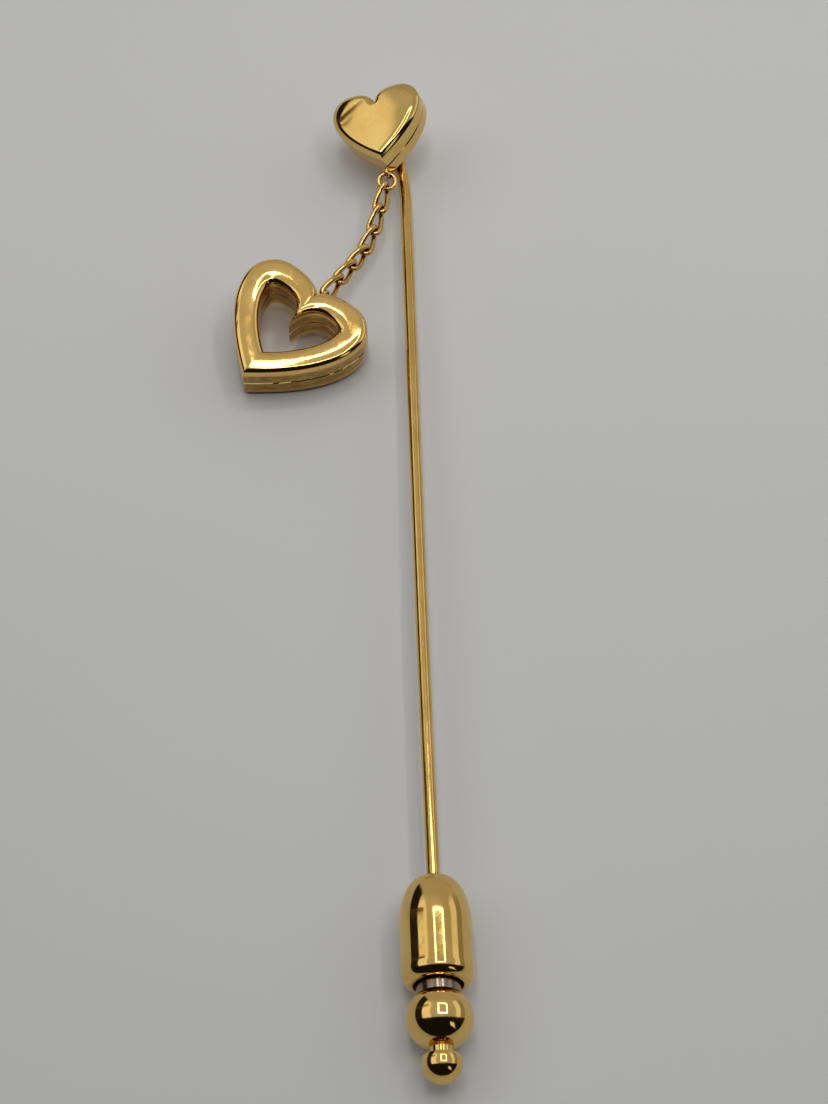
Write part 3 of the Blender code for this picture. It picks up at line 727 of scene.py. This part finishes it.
def build_clutch():
    """The clutch's visible pieces, turned round the stem's axis from the mouth backwards."""
    axis = (
        Matrix.Translation(FRAME_SHIFT + Vector((0, 0, AXIS_HEIGHT)))
        @ Matrix.Rotation(math.pi / 2, 4, "X")
    )
    inside = BARREL_RADIUS - BARREL_WALL
    dome_end = BARREL_MOUTH + BARREL_DOME
    corner_start = BARREL_END - BARREL_CORNER_LENGTH
    rolled = BARREL_RADIUS - BARREL_CORNER - LIP / 2
    barrel = [
        (BARREL_HOLE, BARREL_MOUTH + LIP), (BARREL_HOLE + LIP, BARREL_MOUTH),
        *arc((BARREL_FLAT, dome_end), (BARREL_RADIUS - BARREL_FLAT, -BARREL_DOME), 90, 0, 40),
        *[(BARREL_RADIUS, dome_end + (corner_start - dome_end) * n / BARREL_ROWS)
          for n in range(1, BARREL_ROWS)],
        *arc((BARREL_RADIUS - BARREL_CORNER, corner_start),
             (BARREL_CORNER, BARREL_CORNER_LENGTH), 0, 90, 18),
        (rolled, BARREL_END - LIP / 2), (rolled, COLLAR_END + FIT), (inside, COLLAR_END + FIT),
        *arc((BARREL_FLAT, dome_end), (inside - BARREL_FLAT, BARREL_WALL - BARREL_DOME), 0, 90, 16),
        (BARREL_HOLE, BARREL_MOUTH + BARREL_WALL),
    ]
    place("barrel_shell", turned("barrel_shell", barrel), axis, "clutch_body", "gold_plate", GOLD,
          "clutch_barrel")

    tube = [
        (CAGE_RADIUS - CHAMFER, CAGE_START), (CAGE_RADIUS, CAGE_START + CHAMFER),
        (CAGE_RADIUS, CAGE_END), (CAGE_TAPER, FLANGE_START),
        (FLANGE_RADIUS - CHAMFER, FLANGE_START), (FLANGE_RADIUS, FLANGE_START + CHAMFER),
        (FLANGE_RADIUS, FLANGE_END - CHAMFER), (FLANGE_RADIUS - CHAMFER, FLANGE_END),
        (TUBE_RADIUS, FLANGE_END), (TUBE_RADIUS, TUBE_END), (STEM_BORE, TUBE_END),
        (STEM_BORE, CAGE_START),
    ]
    place("plunger_tube", turned("plunger_tube", tube, 96), axis, "plunger", "clutch_steel", STEEL,
          "clutch_plunger")

    socket = TUBE_RADIUS + FIT
    first = -math.degrees(math.acos(socket / KNOB_RADIUS))
    last = math.degrees(math.acos(KNOB_LIP / KNOB_RADIUS))
    bead = arc((0.0, KNOB_CENTRE), (KNOB_RADIUS, KNOB_HALF_LENGTH), first, last, 56)
    foot = bead[-1][1]
    fillet = KNOB_LIP - NECK_RADIUS
    waist = arc((KNOB_LIP, foot + fillet), (fillet, fillet), 270, 180, 6)[1:]
    knob = [
        *bead, *waist, (NECK_RADIUS, NECK_JOINT - CHAMFER / 2),
        (NECK_RADIUS - CHAMFER / 2, NECK_JOINT), (RIVET_RADIUS + FIT, NECK_JOINT),
        (RIVET_RADIUS + FIT, KNOB_SOCKET_END), (socket, KNOB_SOCKET_END),
    ]
    place("knob_bead", turned("knob_bead", knob), axis, "plunger", "gold_plate", GOLD, "clutch_knob")

    edge = math.degrees(math.asin((FINIAL_TOP - FINIAL_CENTRE) / FINIAL_RADIUS))
    ball = arc((0.0, FINIAL_CENTRE), (FINIAL_RADIUS, FINIAL_RADIUS), edge, 90, 48)
    joint = NECK_JOINT + FIT
    finial = [
        (RIVET_RADIUS + FIT, joint), (NECK_RADIUS - CHAMFER / 2, joint),
        (NECK_RADIUS, joint + CHAMFER / 2), (NECK_RADIUS, FINIAL_TOP), *ball[:-1],
        (0.0, FINIAL_CENTRE + FINIAL_RADIUS), (0.0, RIVET_END + FIT),
        (RIVET_RADIUS + FIT, RIVET_END + FIT),
    ]
    place("finial_bead", turned("finial_bead", finial), axis, "plunger", "gold_plate", GOLD,
          "clutch_finial")


# ---------------------------------------------------------------- assembly

head_matrix = Matrix.Translation(SMALL_PLACE) @ turn_of(SMALL_TURN).to_4x4()
shift = Matrix.Translation(FRAME_SHIFT)
small_half("head_front", 1, shift @ head_matrix, "head_heart_front_shell")
small_half("head_back", -1, shift @ head_matrix, "head_heart_back_shell")

charm_turn = turn_of(OPEN_TURN)
charm_place = OPEN_PLACE + Vector((0, 0, CHARM_LIFT))
charm_matrix = shift @ Matrix.Translation(charm_place) @ charm_turn.to_4x4()
OPEN_GOLD = metal("stamped_gold_open", (0.92, 0.61, 0.20), (0.86, 0.55, 0.16), 0.06, 0.14, 0.006,
                  seam=(charm_matrix, OPEN_THICK / 2))
open_half("open_heart_front", 1, charm_matrix, "open_heart_front_shell")
open_half("open_heart_back", -1, charm_matrix, "open_heart_back_shell")

eye_path = round_ring(EYE_RADIUS, 72)
eye_wires = [EYE_WIRE] * len(eye_path)
head_eye = Matrix.Translation((0, HEAD_EYE, SMALL_THICK / 2)) @ Matrix.Rotation(math.pi / 2, 4, "Y")
charm_eye = Matrix.Translation((0, CHARM_EYE, OPEN_THICK / 2)) @ Matrix.Rotation(math.pi / 2, 4, "Y")
place("head_loop", wire("head_loop", eye_path, eye_wires, 20, closed=True),
      shift @ head_matrix @ head_eye, "pin", "gold_plate", CHAIN_GOLD, "head_eye")
place("open_heart_loop", wire("open_heart_loop", eye_path, eye_wires, 20, closed=True),
      charm_matrix @ charm_eye, "charm", "gold_plate", CHAIN_GOLD, "open_heart_eye")

build_chain(head_matrix, charm_turn, charm_place)
build_stem(head_matrix)
build_clutch()

INNER = {
    "clutch_entry_bush": BRASS, "clutch_end_collar": BRASS, "knob_rivet": BRASS,
    "clutch_lock_cone": STEEL, "clutch_spring": STEEL, "clutch_locking_ball_1": STEEL,
    "clutch_locking_ball_2": STEEL, "clutch_locking_ball_3": STEEL,
}
for node, material in INNER.items():
    for material_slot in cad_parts[node].material_slots:
        material_slot.material = material


# ---------------------------------------------------------------- stage

FLOOR_SIZE = 4.0


def floor_material():
    """Plain pale board, clouded a little, with painted shade that darkens it towards the viewer."""
    material = bpy.data.materials.new("pale_table")
    material.use_nodes = True
    kit = Nodes(material.node_tree)
    shader = material.node_tree.nodes["Principled BSDF"]
    place_at = kit.new("ShaderNodeTexCoord").outputs["Object"]
    cloud = kit.remap(kit.noise(place_at, 14.0, 4.0), 0.3, 0.7)
    depth = kit.new("ShaderNodeSeparateXYZ")
    kit.link(place_at, depth.inputs[0])
    # Painted shade: the board's colour darkens from far to near, standing in for the lamp's falloff.
    shade = kit.remap(depth.outputs["Y"], -0.07, 0.07)
    near = kit.mix(cloud, (0.655, 0.672, 0.684), (0.675, 0.692, 0.704))
    far = kit.mix(cloud, (0.835, 0.846, 0.857), (0.855, 0.866, 0.877))
    kit.link(kit.mix(shade, near, far), shader.inputs["Base Color"])
    shader.inputs["Roughness"].default_value = 0.55
    shader.inputs["Specular IOR Level"].default_value = 0.3
    return material


bm = bmesh.new()
bmesh.ops.create_grid(bm, x_segments=8, y_segments=8, size=FLOOR_SIZE / 2)
floor_mesh = bpy.data.meshes.new("table")
bm.to_mesh(floor_mesh)
bm.free()
floor = bpy.data.objects.new("table", floor_mesh)
SCENE.collection.objects.link(floor)
floor.data.materials.append(floor_material())

# An oblong frame of LED bars hangs over the pin, to its right.
LAMP_HEIGHT = 0.25
LAMP_CENTRE = Vector((0.046, 0.018))
LAMP_SIZE = Vector((0.125, 0.165))
LAMP_BAR = 0.016
LAMP_RADIANCE = 6.2
LAMP_TINT = (1.0, 0.98, 0.94)


def lamp_bar(name, spot, size):
    """One bar of the lamp, facing straight down."""
    data = bpy.data.lights.new(name, "AREA")
    data.shape = "RECTANGLE"
    data.size, data.size_y = size
    data.energy = LAMP_RADIANCE * math.pi * size[0] * size[1]
    data.color = LAMP_TINT
    ob = bpy.data.objects.new(name, data)
    SCENE.collection.objects.link(ob)
    ob.location = spot


half = LAMP_SIZE / 2
for n, (x, y) in enumerate(((1, 0), (-1, 0), (0, 1), (0, -1))):
    spot = Vector((LAMP_CENTRE.x + x * half.x, LAMP_CENTRE.y + y * half.y, LAMP_HEIGHT))
    size = (LAMP_BAR, LAMP_SIZE.y - LAMP_BAR) if x else (LAMP_SIZE.x + LAMP_BAR, LAMP_BAR)
    lamp_bar(f"lamp_bar_{n + 1}", spot, size)

# The room's zones: (grey level, how each of x, y and z fades in over a span of the direction's parts).
CEILING = 0.50
ZONES = (
    (0.42, {"x": (0.15, 0.45)}),
    (0.97, {"x": (-0.36, -0.50), "z": (0.86, 0.80)}),
    (0.80, {"x": (0.55, 0.66), "z": (0.62, 0.56)}),
    (0.26, {"x": (0.25, 0.45), "z": (0.34, 0.28)}),
    (0.40, {"y": (0.55, 0.75)}),
    (0.015, {"x": (-0.45, -0.55), "z": (0.50, 0.43)}),
)
BLINDS = 0.395, 0.450, 0.474, 0.498
BLIND_WIDTH = 0.011
BLIND_LEVEL = 0.05
VIEWER_LEVEL = 0.008
PATCH = {"x": 0.62, "y": -0.60, "level": 0.9}
ROOM_TINT = (1.0, 0.98, 0.95)


def build_world():
    """A room with a grey ceiling, bright panels left and right, and the dark of a viewer in front."""
    world = bpy.data.worlds.new("room")
    SCENE.world = world
    world.use_nodes = True
    kit = Nodes(world.node_tree)
    background = world.node_tree.nodes["Background"]
    split = kit.new("ShaderNodeSeparateXYZ")
    kit.link(kit.new("ShaderNodeTexCoord").outputs["Generated"], split.inputs[0])
    part = {"x": split.outputs[0], "y": split.outputs[1], "z": split.outputs[2]}

    def toward(level, target, share):
        node = kit.new("ShaderNodeMix", data_type="FLOAT")
        kit.link(share, node.inputs[0])
        if hasattr(level, "is_linked"):
            kit.link(level, node.inputs[2])
        else:
            node.inputs[2].default_value = level
        node.inputs[3].default_value = target
        return node.outputs[0]

    def fade(value, start, end):
        if start < end:
            return kit.remap(value, start, end)
        return kit.remap(value, end, start, 1.0, 0.0)

    level = CEILING
    for target, spans in ZONES:
        share = None
        for axis, (start, end) in spans.items():
            mask = fade(part[axis], start, end)
            share = mask if share is None else kit.math("MULTIPLY", share, mask)
        level = toward(level, target, share)
    left = kit.math("MULTIPLY", fade(part["x"], -0.46, -0.60), fade(part["z"], 0.76, 0.66))
    for blind in BLINDS:
        off = kit.math("ABSOLUTE", kit.math("SUBTRACT", part["y"], blind))
        share = kit.math("MULTIPLY", fade(off, BLIND_WIDTH * 1.5, BLIND_WIDTH * 0.6), left)
        level = toward(level, BLIND_LEVEL, share)
    front = kit.math("DIVIDE", part["y"], kit.math("ADD", part["z"], 0.15))
    level = toward(level, VIEWER_LEVEL, fade(front, -0.24, -0.34))
    aside = kit.math("ABSOLUTE", kit.math("SUBTRACT", part["x"], PATCH["x"]))
    ahead = kit.math("ABSOLUTE", kit.math("SUBTRACT", part["y"], PATCH["y"]))
    patch = kit.math("MULTIPLY", fade(aside, 0.12, 0.06), fade(ahead, 0.10, 0.05))
    level = toward(level, PATCH["level"], patch)
    room = kit.new("ShaderNodeCombineColor")
    for n, tint in enumerate(ROOM_TINT):
        kit.link(kit.math("MULTIPLY", level, tint), room.inputs[n])
    kit.link(room.outputs[0], background.inputs["Color"])
    background.inputs["Strength"].default_value = 1.0


build_world()

CAMERA_PLACE = Vector((0.934, -113.345, 175.893)) * MM
CAMERA_DOWN = math.radians(57.0)
CAMERA_BEARING = math.radians(2.2224)


def aim_camera():
    """The photograph's view: 57 degrees down, a long lens, about 21 cm away."""
    level = math.cos(CAMERA_DOWN)
    sin, cos = math.sin(CAMERA_BEARING), math.cos(CAMERA_BEARING)
    forward = Vector((level * sin, level * cos, -math.sin(CAMERA_DOWN)))
    right = Vector((cos, -sin, 0))
    up = right.cross(forward)
    data = bpy.data.cameras.new("camera")
    data.sensor_width = 36.0
    data.lens = 89.67
    data.clip_start = 0.005
    data.clip_end = 20.0
    ob = bpy.data.objects.new("camera", data)
    SCENE.collection.objects.link(ob)
    turn = Matrix((right, up, -forward)).transposed()
    ob.matrix_world = Matrix.Translation(CAMERA_PLACE) @ turn.to_4x4()
    SCENE.camera = ob


aim_camera()
SCENE.view_settings.view_transform = "Standard"
